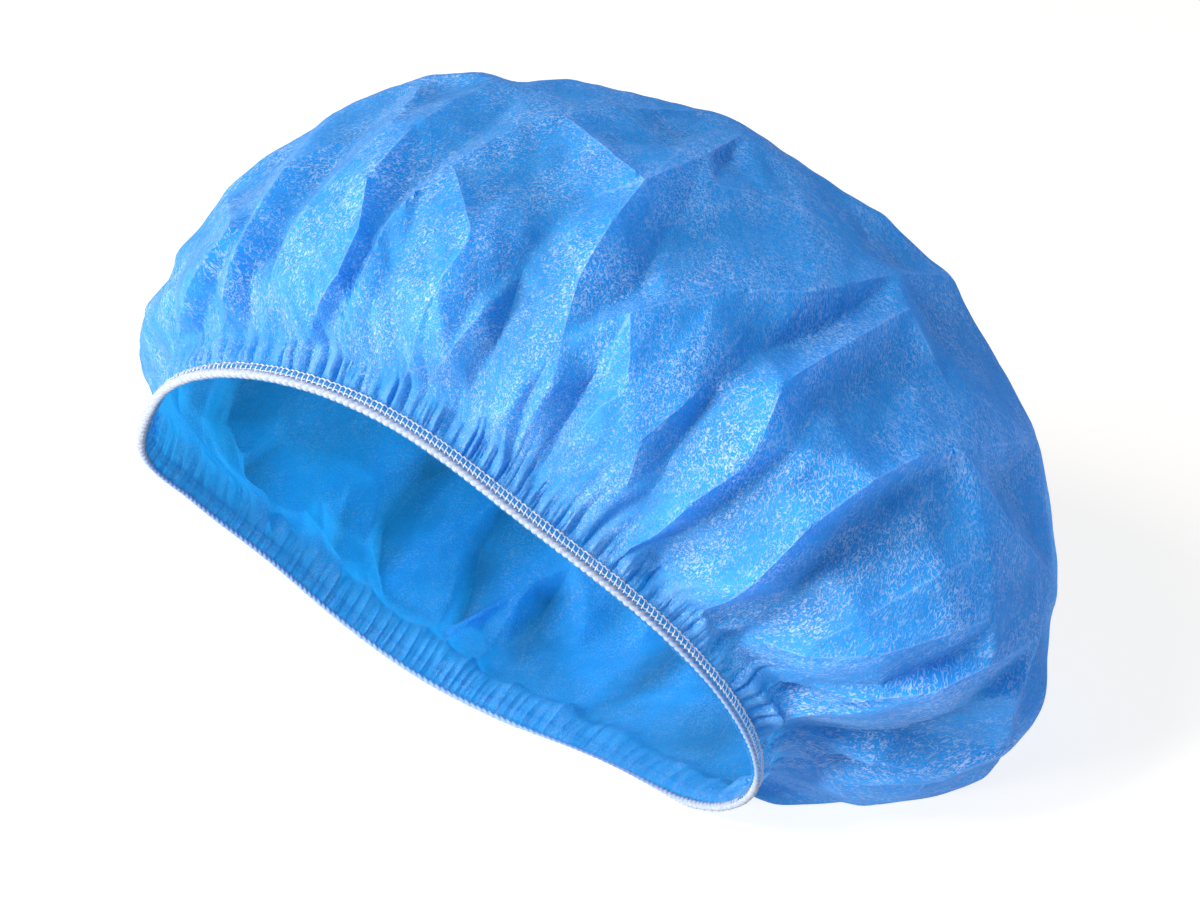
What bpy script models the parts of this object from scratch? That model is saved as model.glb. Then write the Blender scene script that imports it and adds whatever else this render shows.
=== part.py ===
"""A disposable bouffant cap of thin nonwoven cloth, puffed out and leaning on its far side.

The cap is worked out in its own frame first: X runs along the rim from front to back, Y to
the far side, Z up through the crown, with the rim's middle at the origin.  It is then leaned
over, let down on the floor and flattened where it rests.  Every cloth point has a place on a
flat disc of radius 1, as the cloth was cut: the rim is the disc's edge, the crown its centre.
Around is the angle on that disc, in degrees from the back by way of the near side, and up is
the share of the way from the rim to the crown.
"""
import bpy
import numpy as np
from math import radians
from mathutils import Vector
from mathutils.geometry import delaunay_2d_cdt

# Driving dimensions of the rim and the dome, in metres
RIM_LENGTH = 0.200
RIM_WIDTH = 0.146
RIM_ARCH = 0.0081
FRONT_REACH = 0.119
BACK_REACH = 0.159
NEAR_REACH = 0.107
FAR_REACH = 0.106
CROWN_HEIGHT = 0.149
ROUNDNESS = 2.30

# The cloth wall, the sewn elastic edge and the gap between the two solids, in metres
WALL = 0.0012
EDGE_WIDTH = 0.0042
EDGE_THICKNESS = 0.0026
SEAM_GAP = 0.0008

# How the cap lies: the angles of its crown axis, in degrees, and the depth pressed flat
LEAN = 62.8
LEAN_TOWARD = 56.1
TURN = -58.3
PRESSED_FLAT = 0.022
FLAT_BLEND = 0.0025

# Heights of folds and gathers, in metres
FOLD_HEIGHT = 0.0070
GATHER_DEPTH = 0.0022

# Gathers round the rim: how many, where they start and end in up, and how uneven they are
GATHERS = 32
GATHER_START = 0.035
GATHER_END = 0.22
GATHER_FALL = 1.5
UNEVEN = 0.25
UNEVEN_WAVES = 5

# Far pleats, which repeat round the side that lies away; they sway and differ in length
FAR_PLEATS = 9
FAR_FROM = 176.0
FAR_TO = 338.0
FAR_TOP = 0.36
FAR_TOP_SWAY = 0.09
FAR_SWAY = 3.0
SWAY_STEP = 2.4

# Sections from the rim to the crown, as shares of the rim's or the dome's own sizes
SECTIONS = (
    # size, up, height, front, back, near, far
    ("rim", 0.00, 0.000, 1.000, 1.000, 1.000, 1.000),
    ("rim", 0.04, 0.055, 1.025, 1.025, 1.034, 1.034),
    ("dome", 0.14, 0.135, 0.999, 0.836, 0.914, 0.907),
    ("dome", 0.26, 0.334, 1.000, 1.000, 1.000, 1.000),
    ("dome", 0.46, 0.676, 0.874, 0.887, 0.851, 0.900),
    ("dome", 0.70, 0.912, 0.297, 0.630, 0.670, 0.560),
    ("dome", 1.00, 1.000, 0.000, 0.000, 0.000, 0.000),
)

# Waves of the rim, as shares of half its length, fading out at WAVE_END
WAVE_END = 0.30
RIM_WAVES = (
    # waves round, out by cosine, out by sine, up by cosine, up by sine
    (0, 0.000, 0.000, 0.015, 0.000),
    (1, 0.000, 0.000, 0.000, -0.022),
    (2, 0.000, -0.004, 0.000, -0.023),
    (3, -0.001, 0.037, 0.009, -0.008),
    (4, 0.005, 0.000, -0.016, 0.000),
)

# Main folds: lines of the cloth standing out (+) or lying in (-), in shares of FOLD_HEIGHT
FOLDS = (
    # name, around, up, lift at one end, around, up, lift at the other
    ("left ridge low", 152, 0.05, 0.4, 148, 0.16, 0.6),
    ("left ridge middle", 148, 0.16, 0.6, 151, 0.29, 0.5),
    ("left ridge end", 151, 0.29, 0.5, 160, 0.37, 0.2),
    ("left groove low", 147, 0.07, -0.5, 144, 0.20, -0.5),
    ("left groove end", 144, 0.20, -0.5, 147, 0.35, -0.3),
    ("front ridge low", 138, 0.05, 0.5, 132, 0.18, 0.8),
    ("front ridge high", 132, 0.18, 0.8, 135, 0.36, 0.4),
    ("front groove low", 131, 0.06, -0.4, 128, 0.20, -0.6),
    ("front groove high", 128, 0.20, -0.6, 127, 0.38, -0.3),
    ("dark band ridge low", 118, 0.07, 0.5, 114, 0.20, 0.8),
    ("dark band ridge high", 114, 0.20, 0.8, 123, 0.32, 0.6),
    ("dark band groove low", 105, 0.06, -0.5, 104, 0.18, -0.9),
    ("dark band groove high", 104, 0.18, -0.9, 107, 0.31, -0.4),
    ("star ridge low", 92, 0.11, 0.6, 96, 0.20, 0.8),
    ("star ridge middle", 96, 0.20, 0.8, 100, 0.41, 1.1),
    ("star ridge top", 100, 0.41, 1.1, 92, 0.69, 0.6),
    ("star ridge left", 100, 0.41, 1.1, 120, 0.46, 0.5),
    ("crown front ridge", 120, 0.46, 0.5, 143, 0.47, 0.3),
    ("tongue groove", 88, 0.06, -0.6, 89, 0.18, -0.7),
    ("tongue ridge low", 84, 0.13, 0.5, 90, 0.25, 0.6),
    ("tongue ridge high", 90, 0.25, 0.6, 80, 0.33, 0.7),
    ("cross ridge", 80, 0.33, 0.7, 68, 0.41, 0.7),
    ("cross ridge back", 68, 0.41, 0.7, 41, 0.67, 0.5),
    ("long ridge low", 73, 0.11, 0.5, 70, 0.22, 0.7),
    ("long ridge high", 70, 0.22, 0.7, 66, 0.29, 0.8),
    ("long groove low", 76, 0.06, -0.5, 77, 0.15, -0.7),
    ("long groove high", 77, 0.15, -0.7, 74, 0.32, -0.4),
    ("side ridge low", 64, 0.04, 0.5, 65, 0.14, 0.7),
    ("side ridge middle", 65, 0.14, 0.7, 63, 0.21, 0.8),
    ("side ridge high", 63, 0.21, 0.8, 66, 0.29, 0.8),
    ("side ridge back", 66, 0.29, 0.8, 51, 0.51, 0.2),
    ("side groove", 58, 0.05, -0.6, 60, 0.16, -0.5),
    ("back ridge low", 49, 0.04, 0.5, 52, 0.19, 0.8),
    ("back ridge middle", 52, 0.19, 0.8, 50, 0.28, 0.7),
    ("back ridge high", 50, 0.28, 0.7, 38, 0.39, 1.0),
    ("back ridge end", 38, 0.39, 1.0, 20, 0.55, 0.5),
    ("back groove", 43, 0.07, -0.5, 46, 0.22, -0.5),
    ("under ridge", 38, 0.07, 0.4, 34, 0.16, 0.5),
    ("under ridge end", 34, 0.16, 0.5, 29, 0.26, 0.4),
    ("lap ridge low", 26, 0.03, 0.6, 25, 0.16, 0.9),
    ("lap ridge high", 25, 0.16, 0.9, 23, 0.27, 0.9),
    ("lap ridge end", 23, 0.27, 0.9, 18, 0.39, 0.6),
    ("lap groove low", 19, 0.04, -0.8, 19, 0.14, -1.3),
    ("lap groove high", 19, 0.14, -1.3, 18, 0.26, -1.5),
    ("lap groove end", 18, 0.26, -1.5, 13, 0.35, -1.4),
    ("lap groove far", 13, 0.35, -1.4, 356, 0.46, -0.3),
    ("low lobe ridge", 9, 0.12, 0.3, 9, 0.24, 1.0),
    ("low lobe end", 9, 0.24, 1.0, 3, 0.33, 1.0),
    ("low lobe far", 3, 0.33, 1.0, 345, 0.36, 0.4),
    ("top ridge", 92, 0.69, 0.6, 66, 0.57, 0.4),
    ("top dent", 86, 0.50, -0.6, 74, 0.50, -0.5),
    ("front dent", 110, 0.37, -0.4, 127, 0.51, -0.4),
    ("back dent", 46, 0.49, -0.4, 31, 0.50, -0.4),
    ("crown line", 150, 0.66, 0.3, 90, 0.82, 0.4),
    ("crown line back", 90, 0.82, 0.4, 10, 0.72, 0.4),
    ("crown dent", 200, 0.86, -0.6, 320, 0.80, -0.5),
    ("far crown ridge", 180, 0.55, 0.4, 235, 0.62, 0.5),
    ("far crown ridge end", 235, 0.62, 0.5, 300, 0.60, 0.5),
    ("far back ridge", 300, 0.60, 0.5, 345, 0.52, 0.5),
)

# The crown's own lift, and the ring just below the rim where every fold ends
CROWN_LIFT = 0.2
LOW_RING = 36
LOW_RING_UP = -0.02

# Rings of cloth points: the share up and how many points stand on the ring
COLUMNS = 4 * GATHERS
RINGS = (
    (0.000, COLUMNS), (0.018, COLUMNS), (0.040, COLUMNS), (0.068, COLUMNS), (0.100, COLUMNS),
    (0.136, COLUMNS), (0.175, COLUMNS), (0.216, COLUMNS), (0.260, COLUMNS), (0.306, 96),
    (0.355, 96), (0.405, 96), (0.458, 80), (0.514, 80), (0.572, 64), (0.632, 64),
    (0.695, 48), (0.760, 32), (0.828, 24), (0.900, 16), (1.000, 1),
)
EDGE_ROWS = 3

# Spacing on the disc: joined ends, pieces of a fold line, and clear ground beside it
MERGE = 0.0025
FOLD_STEP = 0.040
CLEAR_OF_FOLDS = 0.022
NORMAL_STEP = 0.004
TINY = 1e-7


def clear_scene():
    """Remove the objects that the scene starts with."""
    for item in list(bpy.data.objects):
        bpy.data.objects.remove(item, do_unlink=True)


def smooth_rows(places, rows, end_flat):
    """Return a function that runs smoothly through a table's rows without overshooting.

    Between two rows it is a cubic whose end slopes are the harmonic mean of the slopes of the
    straight lines on both sides, or 0 where the table turns back.
    """
    places = np.array(places)
    rows = np.array(rows)
    steps = np.diff(places)[:, None]
    slopes = np.diff(rows, axis=0) / steps
    tangents = np.zeros_like(rows)
    before, after = slopes[:-1], slopes[1:]
    same_way = before * after > 0
    weight_before = 2 * steps[1:] + steps[:-1]
    weight_after = steps[1:] + 2 * steps[:-1]
    parts_before = weight_before / np.where(same_way, before, 1.0)
    parts_after = weight_after / np.where(same_way, after, 1.0)
    mean = (weight_before + weight_after) / np.where(same_way, parts_before + parts_after, 1.0)
    tangents[1:-1] = np.where(same_way, mean, 0.0)
    tangents[0] = slopes[0]
    tangents[-1] = np.where(end_flat, 0.0, slopes[-1])

    def at(place):
        row = np.clip(np.searchsorted(places, place, side="right") - 1, 0, len(places) - 2)
        step = steps[row]
        share = (np.asarray(place)[:, None] - places[row][:, None]) / step
        return ((2 * share**3 - 3 * share**2 + 1) * rows[row]
                + (share**3 - 2 * share**2 + share) * step * tangents[row]
                + (3 * share**2 - 2 * share**3) * rows[row + 1]
                + (share**3 - share**2) * step * tangents[row + 1])

    return at


def section_curves():
    """Heights and the four reaches over up, in metres, from the table of sections."""
    rim = np.array([RIM_LENGTH / 2, RIM_LENGTH / 2, RIM_WIDTH / 2, RIM_WIDTH / 2])
    dome_reach = np.array([FRONT_REACH, BACK_REACH, NEAR_REACH, FAR_REACH])
    rows = []
    for size, up, height, *shares in SECTIONS:
        reaches = np.array(shares) * (rim if size == "rim" else dome_reach)
        rows.append([height * CROWN_HEIGHT, *reaches])
    ends = np.array([True, False, False, False, False])
    return smooth_rows([row[1] for row in SECTIONS], rows, ends)


CURVES = section_curves()


def dome(x, y):
    """The plain dome over the disc places x, y, before any fold and before it is leaned over.

    Each section is a rounded loop through its four reaches, at its height.  The rim arches up
    between its ends and has its own waves, both fading out up the dome.
    """
    up = np.clip(1 - np.hypot(x, y), 0, 1)
    around = np.arctan2(-y, x)
    height, front, back, near, far = CURVES(up).T
    cosine, sine = np.cos(around), np.sin(around)
    along = np.maximum(np.where(cosine > 0, back, front), TINY)
    across = np.maximum(np.where(sine > 0, near, far), TINY)
    powers = (np.abs(cosine) / along) ** ROUNDNESS + (np.abs(sine) / across) ** ROUNDNESS
    radius = powers ** (-1 / ROUNDNESS)
    fade = np.clip(1 - up / WAVE_END, 0, 1)
    fade = fade * fade * (3 - 2 * fade)
    out = np.ones_like(up)
    lift = -RIM_ARCH * cosine**2 * (1 - up) ** 2
    for waves, out_cosine, out_sine, up_cosine, up_sine in RIM_WAVES:
        out += fade * (out_cosine * np.cos(waves * around) + out_sine * np.sin(waves * around))
        wave = up_cosine * np.cos(waves * around) + up_sine * np.sin(waves * around)
        lift += fade * wave * RIM_LENGTH / 2
    return np.stack([radius * cosine * out, -radius * sine * out, height + lift], axis=-1)


def outward(x, y):
    """Unit normals of the plain dome, from small steps across the disc."""
    inside = np.minimum(1.0, (1 - 2 * NORMAL_STEP) / np.maximum(np.hypot(x, y), TINY))
    x, y = x * inside, y * inside
    over_x = dome(x + NORMAL_STEP, y) - dome(x - NORMAL_STEP, y)
    over_y = dome(x, y + NORMAL_STEP) - dome(x, y - NORMAL_STEP)
    normal = np.cross(over_x, over_y)
    return normal / np.linalg.norm(normal, axis=1)[:, None]


def disc_place(around, up):
    """The place on the disc of a point given by its angle in degrees and its share up."""
    angle = radians(around)
    return ((1 - up) * np.cos(angle), -(1 - up) * np.sin(angle))


def far_pleats():
    """Rows like those of FOLDS for the side that lies away: ridges and grooves in turn."""
    rows = []
    for count in range(2 * FAR_PLEATS):
        around = FAR_FROM + (FAR_TO - FAR_FROM) * count / (2 * FAR_PLEATS - 1)
        way = 1 if count % 2 == 0 else -1
        sway = np.sin(SWAY_STEP * count)
        middle = around + FAR_SWAY * sway
        end = around + 2 * FAR_SWAY * sway
        top = FAR_TOP + FAR_TOP_SWAY * sway
        rows.append(("far pleat", around, 0.07, 0.5 * way, middle, top / 2, 0.8 * way))
        rows.append(("far pleat end", middle, top / 2, 0.8 * way, end, top, 0.4 * way))
    return rows


def fold_network():
    """The ends of all folds joined into triangles on the disc, and the fold lines themselves."""
    places, lifts, lines = [], [], []

    def add(around, up, lift):
        place = disc_place(around, up)
        for index, known in enumerate(places):
            if abs(known[0] - place[0]) + abs(known[1] - place[1]) < MERGE:
                return index
        places.append(place)
        lifts.append(lift)
        return len(places) - 1

    for _, around, up, lift, end_around, end_up, end_lift in list(FOLDS) + far_pleats():
        lines.append((add(around, up, lift), add(end_around, end_up, end_lift)))
    add(0, 1.0, CROWN_LIFT)
    for count in range(LOW_RING):
        add(360 * (count + 0.5) / LOW_RING, LOW_RING_UP, 0.0)
    found = delaunay_2d_cdt([Vector(place) for place in places], lines, [], 0, TINY)
    corners, triangles, origins = found[0], found[2], found[3]
    corner_lifts = []
    for corner, origin in zip(corners, origins):
        if origin:
            corner_lifts.append(lifts[origin[0]])
        else:
            gaps = [(corner - Vector(place)).length for place in places]
            corner_lifts.append(lifts[int(np.argmin(gaps))] / 2)
    corners = np.array([tuple(corner) for corner in corners])
    return corners, np.array(corner_lifts), np.array(triangles), lines, places


NETWORK = fold_network()


def fold_lift(x, y):
    """How far the cloth stands out at disc places x, y: flat between the folds of the network."""
    corners, lifts, triangles = NETWORK[:3]
    best = np.full(x.shape, -np.inf)
    lift = np.zeros_like(x)
    for one, two, three in triangles:
        a, b, c = corners[one], corners[two], corners[three]
        area = (b[0] - a[0]) * (c[1] - a[1]) - (b[1] - a[1]) * (c[0] - a[0])
        share_b = ((x - a[0]) * (c[1] - a[1]) - (y - a[1]) * (c[0] - a[0])) / area
        share_c = ((b[0] - a[0]) * (y - a[1]) - (b[1] - a[1]) * (x - a[0])) / area
        share_a = 1 - share_b - share_c
        inside = np.minimum(np.minimum(share_a, share_b), share_c)
        better = inside > best
        value = share_a * lifts[one] + share_b * lifts[two] + share_c * lifts[three]
        lift = np.where(better, value, lift)
        best = np.where(better, inside, best)
    return lift * FOLD_HEIGHT


def gather_lift(x, y):
    """The gathers that the elastic pulls into the cloth: a wave that dies out up the dome."""
    up = np.clip(1 - np.hypot(x, y), 0, 1)
    around = np.arctan2(-y, x)
    rise = np.clip(up / GATHER_START, 0, 1)
    fall = np.clip(1 - up / GATHER_END, 0, 1) ** GATHER_FALL
    uneven = 1 - UNEVEN + UNEVEN * np.sin(UNEVEN_WAVES * around + 1.0)
    return GATHER_DEPTH * np.cos(GATHERS * around) * rise * fall * uneven


def turn_about_z(angle):
    """The matrix that turns points about the Z axis."""
    cosine, sine = np.cos(angle), np.sin(angle)
    return np.array([[cosine, -sine, 0], [sine, cosine, 0], [0, 0, 1]])


def lean_over(points):
    """Turn points of the cap's own frame so that the crown axis leans as the cap lies."""
    cosine, sine = np.cos(radians(LEAN)), np.sin(radians(LEAN))
    leaned = np.array([[cosine, 0, sine], [0, 1, 0], [-sine, 0, cosine]])
    whole = turn_about_z(radians(LEAN_TOWARD)) @ leaned @ turn_about_z(radians(TURN))
    return points @ whole.T


def floor_level():
    """Height of the floor under the leaned dome: its lowest point, raised by what is pressed."""
    around, up = np.meshgrid(np.linspace(0, 2 * np.pi, 181), np.linspace(0, 1, 61))
    x, y = (1 - up) * np.cos(around), (1 - up) * np.sin(around)
    return lean_over(dome(x.ravel(), y.ravel()))[:, 2].min() + PRESSED_FLAT


FLOOR = floor_level()


def settle(points):
    """Let leaned points down on the floor: what would go below lies exactly on it, at z = 0."""
    height = points[:, 2] - FLOOR
    soft = (height + FLAT_BLEND) ** 2 / (4 * FLAT_BLEND)
    rest = np.where(height > FLAT_BLEND, height, np.where(height < -FLAT_BLEND, 0.0, soft))
    return np.column_stack([points[:, :2], rest])


def fold_points():
    """Each fold line cut into short pieces, so that it follows the dome: a list of runs."""
    runs = []
    for start, end in NETWORK[3]:
        ends = np.array([NETWORK[4][start], NETWORK[4][end]])
        pieces = max(1, int(np.ceil(np.linalg.norm(ends[1] - ends[0]) / FOLD_STEP)))
        share = np.linspace(0, 1, pieces + 1)[:, None]
        runs.append(ends[0] * (1 - share) + ends[1] * share)
    return runs


def cloth_net():
    """Disc places of all cloth points, and the pairs of them that are joined along the folds."""
    ring_points = []
    for up, count in RINGS:
        angle = 2 * np.pi * np.arange(count) / count
        ring_points.append(np.column_stack([(1 - up) * np.cos(angle), (1 - up) * np.sin(angle)]))
    rings = np.vstack(ring_points)
    runs = fold_points()
    along = np.vstack(runs)
    between = rings[:, None, :] - along[None, :, :]
    gap = np.linalg.norm(between, axis=2).min(axis=1)
    on_rim = np.hypot(rings[:, 0], rings[:, 1]) > 1 - RINGS[1][0] / 2
    places = [tuple(place) for place in rings[on_rim | (gap > CLEAR_OF_FOLDS)]]
    known = {}
    lines = []
    for run in runs:
        before = None
        for place in run:
            key = (round(place[0], 5), round(place[1], 5))
            if key not in known:
                known[key] = len(places)
                places.append(tuple(place))
            if before is not None and before != known[key]:
                lines.append((before, known[key]))
            before = known[key]
    return places, lines


def cloth_surface():
    """Points and triangles of the cloth's outer side, settled on the floor."""
    places, lines = cloth_net()
    found = delaunay_2d_cdt([Vector(place) for place in places], lines, [], 0, TINY)
    flat = np.array([tuple(corner) for corner in found[0]])
    x, y = flat.T
    lift = fold_lift(x, y) + gather_lift(x, y)
    points = dome(x, y) + outward(x, y) * lift[:, None]
    return settle(lean_over(points)), [tuple(face) for face in found[2]]


def edge_surface():
    """Points and quads of the sewn edge's outer side: a strip below the cloth, along the rim."""
    angle = 2 * np.pi * np.arange(COLUMNS) / COLUMNS
    rim = dome(np.cos(angle), np.sin(angle))
    rows = []
    for row in range(EDGE_ROWS):
        drop = SEAM_GAP + EDGE_WIDTH * (1 - row / (EDGE_ROWS - 1))
        rows.append(rim - np.array([0, 0, drop]))
    faces = []
    for row in range(EDGE_ROWS - 1):
        for column in range(COLUMNS):
            here = row * COLUMNS + column
            beside = row * COLUMNS + (column + 1) % COLUMNS
            faces.append((here, beside, beside + COLUMNS, here + COLUMNS))
    return settle(lean_over(np.vstack(rows))), faces


def material(name, colour, roughness):
    """A plain finish for one piece."""
    finish = bpy.data.materials.new(name)
    finish.use_nodes = True
    shader = finish.node_tree.nodes["Principled BSDF"]
    shader.inputs["Base Color"].default_value = (*colour, 1)
    shader.inputs["Roughness"].default_value = roughness
    shader.inputs["Metallic"].default_value = 0.0
    return finish


def piece(name, points, faces, thickness, finish, collection):
    """An object whose outer side is given, with its wall thickened inward."""
    mesh = bpy.data.meshes.new(name)
    mesh.from_pydata(points.tolist(), [], faces)
    mesh.update()
    mesh.shade_smooth()
    mesh.materials.append(finish)
    item = bpy.data.objects.new(name, mesh)
    collection.objects.link(item)
    wall = item.modifiers.new("wall", "SOLIDIFY")
    wall.thickness = thickness
    wall.offset = -1


def main():
    """Build the cloth and its elastic edge, centred over the origin."""
    clear_scene()
    collection = bpy.data.collections.new("bouffant_cap")
    bpy.context.scene.collection.children.link(collection)
    cloth_points, cloth_faces = cloth_surface()
    edge_points, edge_faces = edge_surface()
    both = np.vstack([cloth_points, edge_points])
    middle = (both.min(axis=0) + both.max(axis=0)) / 2
    middle[2] = 0
    blue = material("nonwoven_blue", (0.055, 0.27, 0.78), 0.8)
    white = material("elastic_white", (0.82, 0.86, 0.92), 0.7)
    piece("crown", cloth_points - middle, cloth_faces, WALL, blue, collection)
    piece("elastic_edge", edge_points - middle, edge_faces, EDGE_THICKNESS, white, collection)


main()
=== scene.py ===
"""The looks of a disposable bouffant cap: its creased nonwoven cloth, its gathers and its
sewn elastic edge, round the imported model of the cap.

The cloth is worked out on the flat disc that it was cut as.  A place on the disc is x, y with
the rim at radius 1 and the crown at the centre; up is 1 less the radius, and around is the
angle from the back of the cap by way of its near side.  Each place is lifted onto the plain
dome, pushed out or in by the folds, leaned over and let down on the floor, in metres.
"""
from math import cos, pi, radians, sin

import bpy
import numpy as np
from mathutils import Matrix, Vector
from mathutils.geometry import delaunay_2d_cdt


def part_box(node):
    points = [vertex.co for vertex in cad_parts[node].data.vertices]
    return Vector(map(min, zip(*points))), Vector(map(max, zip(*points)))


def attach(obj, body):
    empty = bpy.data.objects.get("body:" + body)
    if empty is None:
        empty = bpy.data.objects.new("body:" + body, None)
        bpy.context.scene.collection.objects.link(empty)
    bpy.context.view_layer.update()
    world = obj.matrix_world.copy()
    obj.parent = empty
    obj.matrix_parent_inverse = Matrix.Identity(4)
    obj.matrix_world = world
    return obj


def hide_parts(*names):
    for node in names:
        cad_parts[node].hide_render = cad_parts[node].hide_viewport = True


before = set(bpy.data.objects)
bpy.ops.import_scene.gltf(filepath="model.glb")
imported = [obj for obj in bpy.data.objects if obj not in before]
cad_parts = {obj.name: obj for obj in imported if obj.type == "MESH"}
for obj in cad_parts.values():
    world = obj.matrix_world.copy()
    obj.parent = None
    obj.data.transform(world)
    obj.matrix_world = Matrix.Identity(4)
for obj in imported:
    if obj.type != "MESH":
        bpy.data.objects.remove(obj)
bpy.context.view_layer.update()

# Sizes of the rim and the dome, in metres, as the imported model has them
RIM_LENGTH = 0.200
RIM_WIDTH = 0.146
RIM_ARCH = 0.0081
FRONT_REACH = 0.119
BACK_REACH = 0.159
NEAR_REACH = 0.107
FAR_REACH = 0.106
CROWN_HEIGHT = 0.149
ROUNDNESS = 2.30
SEAM_GAP = 0.0008
EDGE_WIDTH = 0.0042
EDGE_THICKNESS = 0.0026

# How the cap lies: the angles of its crown axis in degrees, and the depth pressed flat
LEAN = 62.8
LEAN_TOWARD = 56.1
TURN = -58.3
PRESSED_FLAT = 0.022
FLAT_BLEND = 0.0025

# Sections from the rim to the crown, as shares of the rim's or the dome's own sizes
SECTIONS = (
    # size, up, height, front, back, near, far
    ("rim", 0.00, 0.000, 1.000, 1.000, 1.000, 1.000),
    ("rim", 0.04, 0.055, 1.025, 1.025, 1.034, 1.034),
    ("dome", 0.14, 0.135, 0.999, 0.836, 0.914, 0.907),
    ("dome", 0.26, 0.334, 1.000, 1.000, 1.000, 1.000),
    ("dome", 0.46, 0.676, 0.874, 0.887, 0.851, 0.900),
    ("dome", 0.70, 0.912, 0.297, 0.630, 0.670, 0.560),
    ("dome", 1.00, 1.000, 0.000, 0.000, 0.000, 0.000),
)

# Waves of the rim, as shares of half its length, fading out at WAVE_END
WAVE_END = 0.30
RIM_WAVES = (
    # waves round, out by cosine, out by sine, up by cosine, up by sine
    (0, 0.000, 0.000, 0.015, 0.000),
    (1, 0.000, 0.000, 0.000, -0.022),
    (2, 0.000, -0.004, 0.000, -0.023),
    (3, -0.001, 0.037, 0.009, -0.008),
    (4, 0.005, 0.000, -0.016, 0.000),
)

# The camera: where it stands in metres, how far it looks down, and its frame in pixels
CAMERA_PLACE = (0.0038, -0.8751, 0.5594)
LOOK_DOWN = 28.0
LENS_MM = 99.0
SENSOR_MM = 36.0
FRAME_WIDE, FRAME_HIGH = 1200, 900

# One step of lift in the tables of folds, in metres, the least lift that moves a fold's place
# on the disc, and the steepest slope between two points
FOLD_STEP = 0.0015
FOLD_LOOK = 0.0030
STEEPEST = 1.15

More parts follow.
